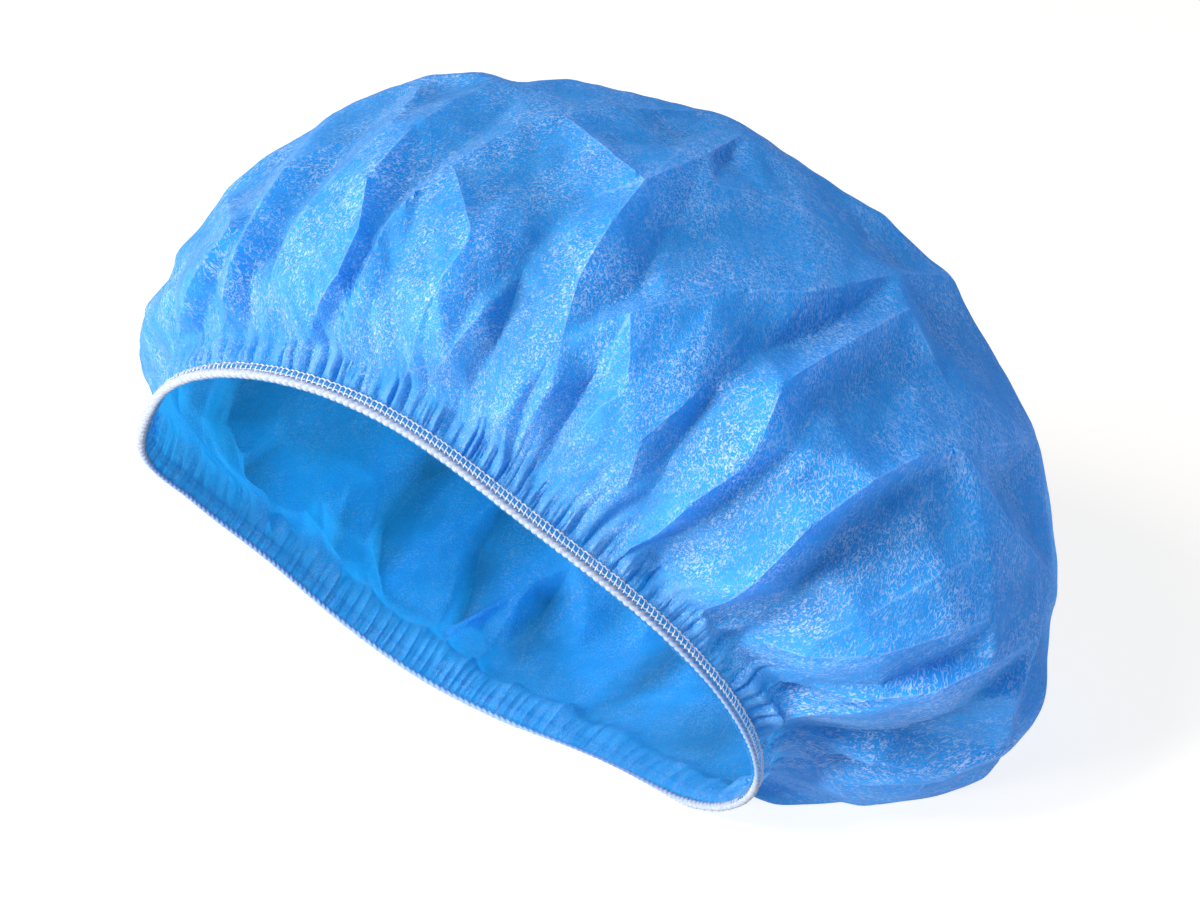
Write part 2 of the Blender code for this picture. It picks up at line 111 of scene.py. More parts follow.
# Folds of the outside, charted on the photograph: pixel across, pixel down, steps of lift
OUTER_FOLDS = (
    ("left ridge 1", (227, 192, None), (237, 231, 3), (214, 260, 3), (191, 305, 3), (183, 338, 1)),
    ("left groove 1", (262, 190, 0), (238, 245, -0.5), (213, 292, -1), (201, 332, -0.5)),
    ("left ridge 2", (318, 127, None), (293, 172, 3), (266, 214, 3.5), (243, 256, 3.5),
     (232, 305, 3), (224, 338, 1)),
    ("left groove 2", (352, 135, -1), (318, 172, -2.5), (289, 210, -2), (272, 243, -2),
     (251, 305, -1.5), (244, 338, -1)),
    ("left upper edge", (430, 76, None), (390, 137, 2.5), (339, 187, 2.5), (299, 230, 1.5),
     (276, 290, 1), (262, 335, 0)),
    ("left ridge 3", (419, 132, 3), (371, 182, 4), (361, 230, 4), (341, 278, 4),
     (316, 325, 2.5), (304, 350, 1)),
    ("left groove 3", (480, 132, -1), (440, 158, -2), (405, 188, -2.5), (384, 218, -3),
     (366, 262, -3), (345, 305, -2), (330, 340, 0)),
    ("thin ridge", (453, 168, 2), (412, 200, 1.5), (386, 222, 2), (378, 250, 2),
     (360, 283, 1.5), (343, 318, 1)),
    ("dark band ridge", (453, 168, 2), (472, 241, 3.5), (437, 287, 4), (418, 345, 2.5),
     (408, 378, 1)),
    ("dark band groove", (558, 214, -1), (522, 266, -3), (511, 303, -4), (490, 350, -3.5),
     (466, 392, -1.5)),
    ("dark band side", (558, 214, -1), (577, 281, 2), (560, 340, 1), (530, 395, 0)),
    ("crown front", (420, 194, 0), (516, 136, 2), (560, 122, 3)),
    ("crown edge", (419, 132, 3), (458, 108, 2), (497, 89, 2), (541, 81, None)),
    ("crown top left", (560, 122, 3), (527, 95, 1.5), (512, 87, 1)),
    ("crown top", (560, 122, 3), (615, 116, 2), (720, 122, 2)),
    ("crown top short", (615, 116, 2), (671, 150, 0)),
    ("star left", (560, 122, 3), (642, 189, 6)),
    ("star band upper", (642, 189, 6), (680, 154, 3), (726, 136, 2)),
    ("star band lower", (642, 189, 6), (702, 162, 4), (738, 142, 3)),
    ("star valley", (642, 189, 6), (590, 200, 1), (558, 214, -1)),
    ("star down", (642, 189, 6), (612, 226, 5), (588, 262, 4), (577, 281, 2)),
    ("star dark facet", (642, 189, 6), (662, 242, -1), (682, 215, 1), (693, 183, 3)),
    ("star right", (662, 242, -1), (640, 290, -1)),
    ("top right", (750, 130, None), (782, 167, 2), (836, 236, 2), (860, 262, 2)),
    ("top right cross", (712, 192, 3), (760, 202, 2), (806, 219, 3), (836, 236, 2)),
    ("top right dark", (712, 192, 3), (724, 162, 0)),
    ("right shoulder", (888, 242, 2), (935, 273, 3), (955, 278, None)),
    ("cross ridge", (955, 278, None), (890, 278, 4), (844, 288, 5), (803, 297, 5),
     (742, 296, 4), (713, 299, 4), (660, 307, 4), (627, 316, 5)),
    ("cross down 1", (627, 316, 5), (619, 337, 4), (600, 395, 1)),
    ("cross down 2", (627, 316, 5), (630, 388, 4)),
    ("tongue groove 1", (627, 316, 5), (590, 382, -2), (543, 465, -2)),
    ("middle ridge", (753, 318, 1), (690, 400, 3), (640, 440, 2.5), (629, 488, 1.5)),
    ("middle groove", (720, 380, -1), (682, 445, -3), (652, 496, -2)),
    ("middle side", (734, 385, 1), (713, 414, 0)),
    ("long ridge top", (903, 314, 5), (843, 347, 5), (780, 385, 7), (742, 402, 3), (715, 421, 0)),
    ("long ridge", (780, 385, 7), (759, 439, 6), (747, 464, 6), (692, 500, 5), (648, 536, 3),
     (620, 560, 1)),
    ("long groove", (735, 495, -3), (690, 530, -3), (650, 575, -2)),
    ("short crease", (776, 414, 5), (789, 448, 2)),
    ("cross valley", (850, 314, -1), (815, 332, -2), (760, 350, -2)),
    ("tongue 1", (478, 294, -1), (486, 311, 1), (453, 353, 1.5), (428, 382, 0)),
    ("tongue 2", (552, 384, 3), (514, 403, 2.5), (466, 422, 1)),
    ("tongue 3", (606, 372, 1), (541, 401, 2)),
    ("tongue 4", (630, 388, 4), (600, 405, 2.5), (571, 441, 1.5), (558, 465, 0)),
    ("right ridge", (962, 454, 7), (919, 457, 6), (871, 480, 7), (809, 527, 7), (760, 572, 6),
     (700, 612, 3), (675, 616, 1)),
    ("right ridge branch", (871, 480, 6), (856, 471, 5), (785, 488, 1)),
    ("right groove", (945, 465, 3), (890, 492, -1), (848, 524, -3), (822, 562, -4),
     (795, 600, -4), (752, 628, -3), (715, 636, -1)),
    ("right corner", (962, 454, 7), (1028, 445, 4)),
    ("right corner upper", (960, 395, 3), (986, 413, 3), (1028, 445, 4)),
    ("right upper", (962, 454, 7), (940, 390, 2), (903, 314, 5)),
    ("right low 1", (962, 454, 7), (1007, 536, 4), (1045, 578, 3)),
    ("right low 2", (962, 454, 7), (947, 515, 1), (934, 545, 0)),
    ("right dark", (985, 550, 4), (934, 572, 3), (859, 613, 3), (819, 634, 3)),
    ("right low 3", (985, 550, 4), (1012, 592, 2), (1031, 625, 3)),
    ("right valley", (1028, 445, 4), (1000, 480, 0), (985, 500, 2)),
    ("under ridge", (703, 626, 1), (760, 637, 3), (810, 650, 5), (870, 652, 6), (953, 628, 5),
     (987, 614, 4)),
    ("under groove", (735, 657, -1), (790, 688, -2), (838, 696, -3), (880, 678, -1),
     (960, 652, 0)),
    ("under pale", (760, 687, 2), (792, 678, 1), (812, 664, 2)),
    ("lap ridge", (746, 692, 2), (776, 716, 4), (829, 719, 6), (872, 707, 7), (930, 686, 6),
     (987, 661, 4), (1031, 636, 3)),
    ("lap groove", (786, 734, -3), (847, 742, -6), (900, 724, -7), (950, 704, -5),
     (985, 690, -1)),
    ("low lobe", (905, 742, 0), (955, 716, 3), (1015, 690, 4)),
    ("low ridge 1", (772, 742, -2), (829, 770, 2), (847, 784, 2), (897, 788, 2), (944, 766, 3),
     (998, 742, 3), (1026, 721, 3)),
    ("low ridge 2", (800, 750, -2), (838, 753, 1), (880, 758, 2), (944, 766, 3)),
    ("low end", (772, 742, -2), (810, 782, 0), (842, 803, 0)),
)

# Bends of the outline, read off enlarged parts of the photograph, in pixels
OUTLINE_CORNERS = (
    (146, 368), (145, 328), (147, 308), (178, 255), (202, 228), (240, 180), (262, 160),
    (335, 114), (365, 99), (400, 87), (460, 74), (490, 74), (570, 80), (640, 95), (680, 105),
    (785, 154), (843, 193), (886, 216), (920, 250), (961, 300), (1000, 367), (1032, 428),
    (1048, 500), (1055, 560), (1055, 600), (1048, 618), (1042, 695), (1041, 706), (1000, 758),
    (985, 776), (940, 794), (860, 805), (780, 805),
)

# Folds of the inside, seen through the mouth: pixel across, pixel down, steps of lift inward
INNER_FOLDS = (
    ("left dark fold", (242, 400, -3), (233, 423, -4), (233, 452, -5), (242, 478, -5),
     (258, 508, -3), (266, 528, -1)),
    ("left pale edge", (250, 452, 3), (264, 488, 5), (276, 520, 2)),
    ("left cross", (288, 540, 1), (298, 522, 4), (318, 508, 5), (346, 482, 5), (361, 462, 1)),
    ("upright", (363, 543, 2), (370, 519, 4), (376, 488, 4), (385, 452, 3), (387, 423, 1)),
    ("dark facet top", (381, 569, -2), (383, 530, -5), (424, 484, -5), (465, 462, -1)),
    ("pale ridge", (383, 597, 1), (396, 582, 4), (424, 560, 6), (461, 530, 6), (502, 495, 2)),
    ("pale streak", (424, 560, 6), (450, 519, 2), (465, 473, 1)),
    ("band left", (457, 554, 4), (449, 592, 2), (444, 630, 1)),
    ("band right", (482, 546, -4), (474, 582, -5), (464, 615, -3)),
    ("star left", (573, 564, 7), (523, 587, 6), (457, 628, 4), (444, 645, 1)),
    ("star dark", (573, 564, 7), (549, 605, -4), (530, 645, -4), (520, 672, -1)),
    ("star right", (573, 564, 7), (582, 602, 5), (582, 650, 4), (574, 690, 1)),
    ("wide band left", (661, 610, 5), (620, 656, 5), (590, 692, 2)),
    ("wide band right", (684, 646, -5), (655, 679, -4), (622, 704, -1)),
    ("last streak", (700, 655, 3), (673, 692, 4), (648, 722, 1)),
    ("end streak", (737, 710, -1), (721, 734, -3), (706, 750, -1)),
)

# Folds that the photograph doesn't show: around in degrees, up, steps of lift
HIDDEN_FOLDS = (
    ("crown line", (150, 0.66, 2), (90, 0.82, 3), (10, 0.72, 3)),
    ("crown line far", (90, 0.82, 3), (250, 0.84, 2), (300, 0.70, 3)),
    ("far crown ridge", (172, 0.55, 3), (205, 0.60, 4), (235, 0.62, 4), (268, 0.58, 4),
     (300, 0.60, 4), (345, 0.52, 4)),
    ("far fan 1", (235, 0.62, 4), (222, 0.50, 3), (214, 0.40, 4)),
    ("far fan 2", (235, 0.62, 4), (246, 0.52, -2), (250, 0.42, -3)),
    ("far fan 3", (268, 0.58, 4), (272, 0.48, 3), (266, 0.38, 4)),
    ("far fan 4", (300, 0.60, 4), (292, 0.48, -2), (288, 0.38, -3)),
    ("far fan 5", (300, 0.60, 4), (312, 0.46, 3), (310, 0.34, 4)),
    ("far fan 6", (345, 0.52, 4), (332, 0.42, -3), (330, 0.30, -3)),
    ("far fan 7", (172, 0.55, 3), (186, 0.42, -3), (190, 0.30, -3)),
    ("far fan 8", (205, 0.60, 4), (200, 0.46, 3), (204, 0.36, 4)),
    ("far crown fan", (235, 0.62, 4), (215, 0.78, -2)),
    ("back crown fan", (300, 0.60, 4), (330, 0.76, -2)),
)
LOW_RING = 48
LOW_RING_UP = -0.03

# Plain fill between the folds: spacing and clear ground on the disc, and its lift in metres
FILL_STEP = 0.072
FILL_CLEAR = 0.050
FILL_LIFT = 0.0015
FILL_FROM = 0.16
FLATNESS = 0.92
FLAT_FROM = 0.05
FLAT_FULL = 0.22

# How often the cloth is drawn to the mean of its neighbours, and how far a crease gives way
SOFTEN_TIMES = 3
CREASE_GIVES = 0.10

# Small crumples over the large folds: wavelength in share of the disc, and lift in metres
CRUMPLE_STEP = 0.050
CRUMPLE_LIFT = 0.00018

# Gathers that the elastic pulls in: count, lift in metres, and their lengths in up
PUCKERS = 262
PUCKER_LIFT = 0.0010
PUCKER_LONG = 0.055
GATHERS = 133
GATHER_LIFT = 0.0021
GATHER_LONG = 0.095
MERGED_GATHERS = 47
MERGED_LIFT = 0.0020
MERGED_LONG = 0.16
LONG_PLEATS = 31
LONG_PLEAT_LIFT = 0.0022
LONG_PLEAT_LONG = 0.42

# The share by which the gathers are lower on the far side
FAR_CALM = 0.62

# Rings of the cloth's grid: how many rings from the rim's hem, and the share up there
RINGS = ((0, -0.016), (4, 0.0), (32, 0.085), (60, 0.235), (150, 1.0))
DISC_RADIUS = 0.240
HEM_DEPTH = 0.0046

# Lift of a fold, in metres, at which the painted shade in the cloth's grooves and the painted
# highlight on its ridges are in full
RELIEF_FULL = 0.0075
FAR_RELIEF = 0.9  # how much sooner it does on the far side

# The sewn edge, in metres
BEAD_RADIUS = 0.00128
BEAD_DROP = 0.0037
BEAD_OUT = 0.0014
FAR_DROP = 0.0013
FAR_IN = 0.0016
RIB_PITCH = 0.0021
RIB_COLUMNS = 8
RIB_SLANT = 0.35
BEAD_SIDES = 14
THREAD = 0.00022
RAIL_UPS = (0.0022, -0.0045)
THREAD_OUT = 0.00055
EDGE_EXTRA = 0.0007
RIM_STITCHES = 350
RAIL_STEPS = 2400
RAIL_WIGGLE = 0.0006
LOOP_OUT = 0.0008
LOOP_BULGE = 0.0007
LOOP_SLANT = 0.0004

# Where the rim is pulled out of its plain loop: around and half width in degrees, and how far
# out and down in metres.  The pull fades out at PULL_END up the cloth
PULL_END = 0.16
RIM_PULLS = (
    (187, 17, 0.0020, 0.0030),
    (219, 28, -0.0036, 0.0000),
    (342, 22, 0.0006, 0.0000),
)

# How full the white wrapping shows round the rim: around in degrees, share
FULLNESS = ((0, 1.05), (9, 1.0), (15, 0.6), (38, 0.6), (60, 0.9), (120, 0.95), (165, 1.1),
            (182, 1.15), (192, 0.6), (322, 0.6), (340, 0.95), (360, 1.05))

# How near edge on a place of the outline is seen, and the most that a corner is lifted
EDGE_ON = 0.25
MOST_LIFT = 0.012
LIFT_COST = 0.3

# How often steep edges are eased, how far beside and past an edge the grid is drawn to it, the
# share of a cell that has to be left, and the least area of a triangle on the disc
EASE_TIMES = 60
SNAP_BESIDE = 0.02
SNAP_PAST = 0.004
CELL_LEFT = 0.02
LEAST_AREA = 1e-12

NORMAL_STEP = 0.004
TINY = 1e-7
SEED = 7

# The floor lies this far under the cloth
FLOOR_GAP = 0.0004


def smooth_rows(places, rows, end_flat):
    """Return a function that runs smoothly through a table's rows without overshooting.

    Between two rows it is a cubic whose end slopes are the harmonic mean of the slopes of the
    straight lines on both sides, or 0 where the table turns back.
    """
    places = np.array(places, float)
    rows = np.array(rows, float)
    steps = np.diff(places)[:, None]
    slopes = np.diff(rows, axis=0) / steps
    tangents = np.zeros_like(rows)
    before, after = slopes[:-1], slopes[1:]
    same_way = before * after > 0
    weight_before = 2 * steps[1:] + steps[:-1]
    weight_after = steps[1:] + 2 * steps[:-1]
    parts_before = weight_before / np.where(same_way, before, 1.0)
    parts_after = weight_after / np.where(same_way, after, 1.0)
    mean = (weight_before + weight_after) / np.where(same_way, parts_before + parts_after, 1.0)
    tangents[1:-1] = np.where(same_way, mean, 0.0)
    tangents[0] = slopes[0]
    tangents[-1] = np.where(end_flat, 0.0, slopes[-1])

    def at(place):
        row = np.clip(np.searchsorted(places, place, side="right") - 1, 0, len(places) - 2)
        step = steps[row]
        share = (np.asarray(place)[:, None] - places[row][:, None]) / step
        return ((2 * share**3 - 3 * share**2 + 1) * rows[row]
                + (share**3 - 2 * share**2 + share) * step * tangents[row]
                + (3 * share**2 - 2 * share**3) * rows[row + 1]
                + (share**3 - share**2) * step * tangents[row + 1])

    return at


def section_curves():
    """Heights and the four reaches over up, in metres, from the table of sections."""
    rim = np.array([RIM_LENGTH / 2, RIM_LENGTH / 2, RIM_WIDTH / 2, RIM_WIDTH / 2])
    dome_reach = np.array([FRONT_REACH, BACK_REACH, NEAR_REACH, FAR_REACH])
    rows = []
    for size, up, height, *shares in SECTIONS:
        reaches = np.array(shares) * (rim if size == "rim" else dome_reach)
        rows.append([height * CROWN_HEIGHT, *reaches])
    ends = np.array([True, False, False, False, False])
    return smooth_rows([row[1] for row in SECTIONS], rows, ends)


CURVES = section_curves()


def smooth_step(share):
    """0 below 0, 1 above 1, and an S between them."""
    share = np.clip(share, 0, 1)
    return share * share * (3 - 2 * share)


def dome(x, y):
    """The plain dome over disc places x, y in the cap's own frame.

    Each section is a rounded loop through its four reaches, at its height: its radius is the
    sum of (cosine / reach) and (sine / reach), each to the power of ROUNDNESS, to the power of
    -1 / ROUNDNESS.  The rim arches between its ends and has waves that fade out up the dome.
    """
    up = np.clip(1 - np.hypot(x, y), 0, 1)
    around = np.arctan2(-y, x)
    height, front, back, near, far = CURVES(up).T
    cosine, sine = np.cos(around), np.sin(around)
    along = np.maximum(np.where(cosine > 0, back, front), TINY)
    across = np.maximum(np.where(sine > 0, near, far), TINY)
    powers = (np.abs(cosine) / along) ** ROUNDNESS + (np.abs(sine) / across) ** ROUNDNESS
    radius = powers ** (-1 / ROUNDNESS)
    fade = smooth_step(1 - up / WAVE_END)
    out = np.ones_like(up)
    lift = -RIM_ARCH * cosine**2 * (1 - up) ** 2
    for waves, out_cosine, out_sine, up_cosine, up_sine in RIM_WAVES:
        out += fade * (out_cosine * np.cos(waves * around) + out_sine * np.sin(waves * around))
        wave = up_cosine * np.cos(waves * around) + up_sine * np.sin(waves * around)
        lift += fade * wave * RIM_LENGTH / 2
    return np.stack([radius * cosine * out, -radius * sine * out, height + lift], axis=-1)


def outward(x, y):
    """Unit normals of the plain dome, from small steps across the disc."""
    inside = np.minimum(1.0, (1 - 2 * NORMAL_STEP) / np.maximum(np.hypot(x, y), TINY))
    x, y = x * inside, y * inside
    over_x = dome(x + NORMAL_STEP, y) - dome(x - NORMAL_STEP, y)
    over_y = dome(x, y + NORMAL_STEP) - dome(x, y - NORMAL_STEP)
    normal = np.cross(over_x, over_y)
    return normal / np.linalg.norm(normal, axis=1)[:, None]


def pulled(x, y):
    """The plain dome with its rim pulled out or in at the places of the table of pulls."""
    points = dome(x, y)
    around = np.degrees(np.arctan2(-y, x))
    fade = smooth_step(1 - (1 - np.hypot(x, y)) / PULL_END)
    out = points * [1, 1, 0]
    out /= np.maximum(np.linalg.norm(out, axis=1), TINY)[:, None]
    for centre, half_width, outward_pull, down_pull in RIM_PULLS:
        gap = np.abs((around - centre + 180) % 360 - 180)
        share = (smooth_step(1 - gap / half_width) * fade)[:, None]
        points = points + share * (out * outward_pull - np.array([0, 0, down_pull]))
    return points


def turn_about_z(angle):
    """The matrix that turns points about the Z axis."""
    return np.array([[cos(angle), -sin(angle), 0], [sin(angle), cos(angle), 0], [0, 0, 1]])


def lean_matrix():
    """The whole turn from the cap's own frame to the way that it lies."""
    angle = radians(LEAN)
    leaned = np.array([[cos(angle), 0, sin(angle)], [0, 1, 0], [-sin(angle), 0, cos(angle)]])
    return turn_about_z(radians(LEAN_TOWARD)) @ leaned @ turn_about_z(radians(TURN))


LEANED = lean_matrix()


def floor_level():
    """Height of the floor under the leaned dome: its lowest point, raised by what is pressed."""
    around, up = np.meshgrid(np.linspace(0, 2 * pi, 181), np.linspace(0, 1, 61))
    x, y = (1 - up) * np.cos(around), (1 - up) * np.sin(around)
    return (dome(x.ravel(), y.ravel()) @ LEANED.T)[:, 2].min() + PRESSED_FLAT


FLOOR = floor_level()


def settle(points):
    """Let leaned points down on the floor: what would go below lies on it, at z = 0."""
    height = points[:, 2] - FLOOR
    soft = (height + FLAT_BLEND) ** 2 / (4 * FLAT_BLEND)
    rest = np.where(height > FLAT_BLEND, height, np.where(height < -FLAT_BLEND, 0.0, soft))
    return np.column_stack([points[:, :2], rest])


def strip_middle():
    """Middle of the box of the plain edge strip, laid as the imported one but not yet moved."""
    angle = np.linspace(0, 2 * pi, 720, endpoint=False)
    x, y = np.cos(angle), np.sin(angle)
    rim = dome(x, y)
    flat_out = outward(x, y) * [1, 1, 0]
    flat_out /= np.linalg.norm(flat_out, axis=1)[:, None]
    corners = []
    for drop in (SEAM_GAP, SEAM_GAP + EDGE_WIDTH):
        for depth in (0, EDGE_THICKNESS):
            corners.append(rim - [0, 0, drop] - flat_out * depth)
    corners = settle(np.vstack(corners) @ LEANED.T)
    return (corners.min(axis=0) + corners.max(axis=0)) / 2


def find_shift():
    """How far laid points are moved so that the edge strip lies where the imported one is."""
    low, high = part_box("elastic_edge")
    shift = (np.array(low) + np.array(high)) / 2 - strip_middle()
    return shift * [1, 1, 0]


SHIFT = find_shift()


def lay(points):
    """Points of the cap's own frame as they lie in the scene."""
    return settle(points @ LEANED.T) + SHIFT


def on_photo(points):
    """Pixels across and down at which scene points show, and their distance in the view."""
    angle = radians(LOOK_DOWN)
    away = points - np.array(CAMERA_PLACE)
    depth = away @ [0, cos(angle), -sin(angle)]
    scale = LENS_MM / SENSOR_MM * FRAME_WIDE / depth
    across = FRAME_WIDE / 2 + away[..., 0] * scale
    down = FRAME_HIGH / 2 - (away @ [0, sin(angle), cos(angle)]) * scale
    return across, down, depth


def chart_ground():
    """A fine net of places on the disc with the dome's points and normals, both leaned over."""
    around, up = np.meshgrid(np.linspace(0, 2 * pi, 720, endpoint=False), np.linspace(0.0, 1, 241))
    x, y = ((1 - up) * np.cos(around)).ravel(), (-(1 - up) * np.sin(around)).ravel()
    return x, y, dome(x, y) @ LEANED.T, outward(x, y) @ LEANED.T


GROUND = chart_ground()


def place_seen(across, down, lift, inside):
    """The disc place whose lifted point shows at a pixel, on the outside or the inside."""
    x, y, points, normals = GROUND
    lifted = settle(points + normals * lift) + SHIFT
    seen_across, seen_down, _ = on_photo(lifted)
    facing = ((np.array(CAMERA_PLACE) - lifted) * normals).sum(axis=1) > 0
    miss = (seen_across - across) ** 2 + (seen_down - down) ** 2
    best = np.argmin(np.where(facing != inside, miss, np.inf))
    return x[best], y[best]


def place_on_outline(across, down):
    """The disc place, and its lift in metres, that puts a point of the outline at a pixel.

    Of the places that are seen edge on, it is the one that needs the least lift and misses
    the pixel's line of sight least.
    """
    x, y, points, normals = GROUND
    angle = radians(LOOK_DOWN)
    focal = LENS_MM / SENSOR_MM * FRAME_WIDE
    ray = (np.array([1, 0, 0]) * (across - FRAME_WIDE / 2)
           + np.array([0, sin(angle), cos(angle)]) * (FRAME_HIGH / 2 - down)
           + np.array([0, cos(angle), -sin(angle)]) * focal)
    ray /= np.linalg.norm(ray)
    away = settle(points) + SHIFT - CAMERA_PLACE
    side_on = normals - (normals @ ray)[:, None] * ray
    offset = away - (away @ ray)[:, None] * ray
    lift = -(offset * side_on).sum(axis=1) / np.maximum((side_on**2).sum(axis=1), TINY)
    miss = np.linalg.norm(offset + side_on * lift[:, None], axis=1)
    cost = np.where(np.abs(normals @ ray) < EDGE_ON, miss + LIFT_COST * np.abs(lift), np.inf)
    best = np.argmin(cost)
    return (x[best], y[best]), np.clip(lift[best], -MOST_LIFT, MOST_LIFT) + EDGE_EXTRA


def place_named(around, up):
    """The disc place of an angle in degrees and a share up."""
    angle = radians(around)
    return (1 - up) * cos(angle), -(1 - up) * sin(angle)


def fold_place(kind, first, second, lift):
    """Disc place and outward lift in metres of one point of a fold."""
    if kind == "hidden":
        return place_named(first, second), lift * FOLD_STEP
    if lift is None:
        return place_on_outline(first, second)
    out = (-lift if kind == "inside" else lift) * FOLD_STEP
    looked = np.sign(out) * max(abs(out) - FOLD_LOOK, 0)
    return place_seen(first, second, looked, kind == "inside"), out


def ease_steep(corners, lifts, edges):
    """Lifts in which no edge is steeper than STEEPEST: both its ends move halfway, in turns."""
    points = dome(*corners.T)
    start, end = edges.T
    most = STEEPEST * np.linalg.norm(points[start] - points[end], axis=1)
    lifts = lifts.copy()
    for _ in range(EASE_TIMES):
        rise = lifts[end] - lifts[start]
        over = np.sign(rise) * np.maximum(np.abs(rise) - most, 0) / 2
        step, count = np.zeros_like(lifts), np.zeros_like(lifts)
        np.add.at(step, start, over)
        np.add.at(step, end, -over)
        np.add.at(count, start, np.abs(over) > 0)
        np.add.at(count, end, np.abs(over) > 0)
        lifts += step / np.maximum(count, 1)
    return lifts


def fold_network():
    """All fold points joined into triangles on the disc, with the folds as their edges."""
    places, lifts, lines = [], [], []
    known = {}

    def add(key, place, lift):
        known[key] = len(places)
        places.append(place)
        lifts.append(lift)

    def add_folds(folds, kind):
        for _, *points in folds:
            ends = []
            for first, second, lift in points:
                key = (kind, first, second)
                if key not in known:
                    add(key, *fold_place(kind, first, second, lift))
                ends.append(known[key])
            lines.extend(zip(ends[:-1], ends[1:]))

    add_folds(OUTER_FOLDS, "outside")
    add_folds(INNER_FOLDS, "inside")
    add_folds(HIDDEN_FOLDS, "hidden")
    for across, down in OUTLINE_CORNERS:
        add(("corner", across, down), *place_on_outline(across, down))
    fold_places = np.array(places)
    rng = np.random.default_rng(SEED)
    side = np.arange(-1, 1, FILL_STEP)
    fill_x, fill_y = np.meshgrid(side, side)
    fill_x = fill_x.ravel() + rng.uniform(-0.4, 0.4, fill_x.size) * FILL_STEP
    fill_y = fill_y.ravel() + rng.uniform(-0.4, 0.4, fill_y.size) * FILL_STEP
    fill_lift = rng.uniform(-1, 1, fill_x.size) * FILL_LIFT
    away = np.hypot(fill_x[:, None] - fold_places[:, 0], fill_y[:, None] - fold_places[:, 1])
    free = (away.min(axis=1) > FILL_CLEAR) & (np.hypot(fill_x, fill_y) < 1 - FILL_FROM)
    for index in np.flatnonzero(free):
        add(("fill", index), (fill_x[index], fill_y[index]), fill_lift[index])
    for count in range(LOW_RING):
        place = place_named(360 * (count + 0.5) / LOW_RING, LOW_RING_UP)
        add(("low", count), place, 0)
    found = delaunay_2d_cdt([Vector(place) for place in places], lines, [], 0, TINY)
    corners = np.array([tuple(corner) for corner in found[0]])
    corner_lifts = np.zeros(len(corners))
    for index, origin in enumerate(found[3]):
        if origin:
            corner_lifts[index] = lifts[origin[0]]
        else:
            gaps = np.hypot(*(np.array(places) - corners[index]).T)
            corner_lifts[index] = lifts[int(np.argmin(gaps))] / 2
    on_fold = np.zeros(len(found[1]), bool)
    for index, origin in enumerate(found[4]):
        on_fold[index] = len(origin) > 0
    edges = np.array(found[1])
    corner_lifts = ease_steep(corners, corner_lifts, edges)
    return corners, corner_lifts, np.array(found[2]), edges, on_fold


def ring_radius(ring):
    """Radius on the disc of a ring counted from the crown: the table of rings, made smooth."""
    rows = [[1 - up] for _, up in RINGS]
    total = RINGS[-1][0]
    curve = smooth_rows([count for count, _ in RINGS], rows, np.array([False]))
    return curve(total - ring)[:, 0]


def disc_grid():
    """Disc places of a square grid bent into rings.

    The ring of a grid point is the larger of its two counts from the middle, and its angle
    runs evenly along the sides of that square.
    """
    total = RINGS[-1][0]
    count = np.arange(-total, total + 1)
    a, b = np.meshgrid(count, count, indexing="ij")
    ring = np.maximum(np.abs(a), np.abs(b))
    safe = np.maximum(ring, 1)
    sideways = np.abs(a) >= np.abs(b)
    angle = np.where(sideways, pi / 4 * b / safe * np.sign(a) + np.where(a < 0, pi, 0),
                     pi / 2 * np.sign(b) - pi / 4 * a / safe * np.sign(b))
    radius = ring_radius(ring.ravel()).reshape(ring.shape)
    radius[total, total] = 0
    return radius * np.cos(angle), radius * np.sin(angle)


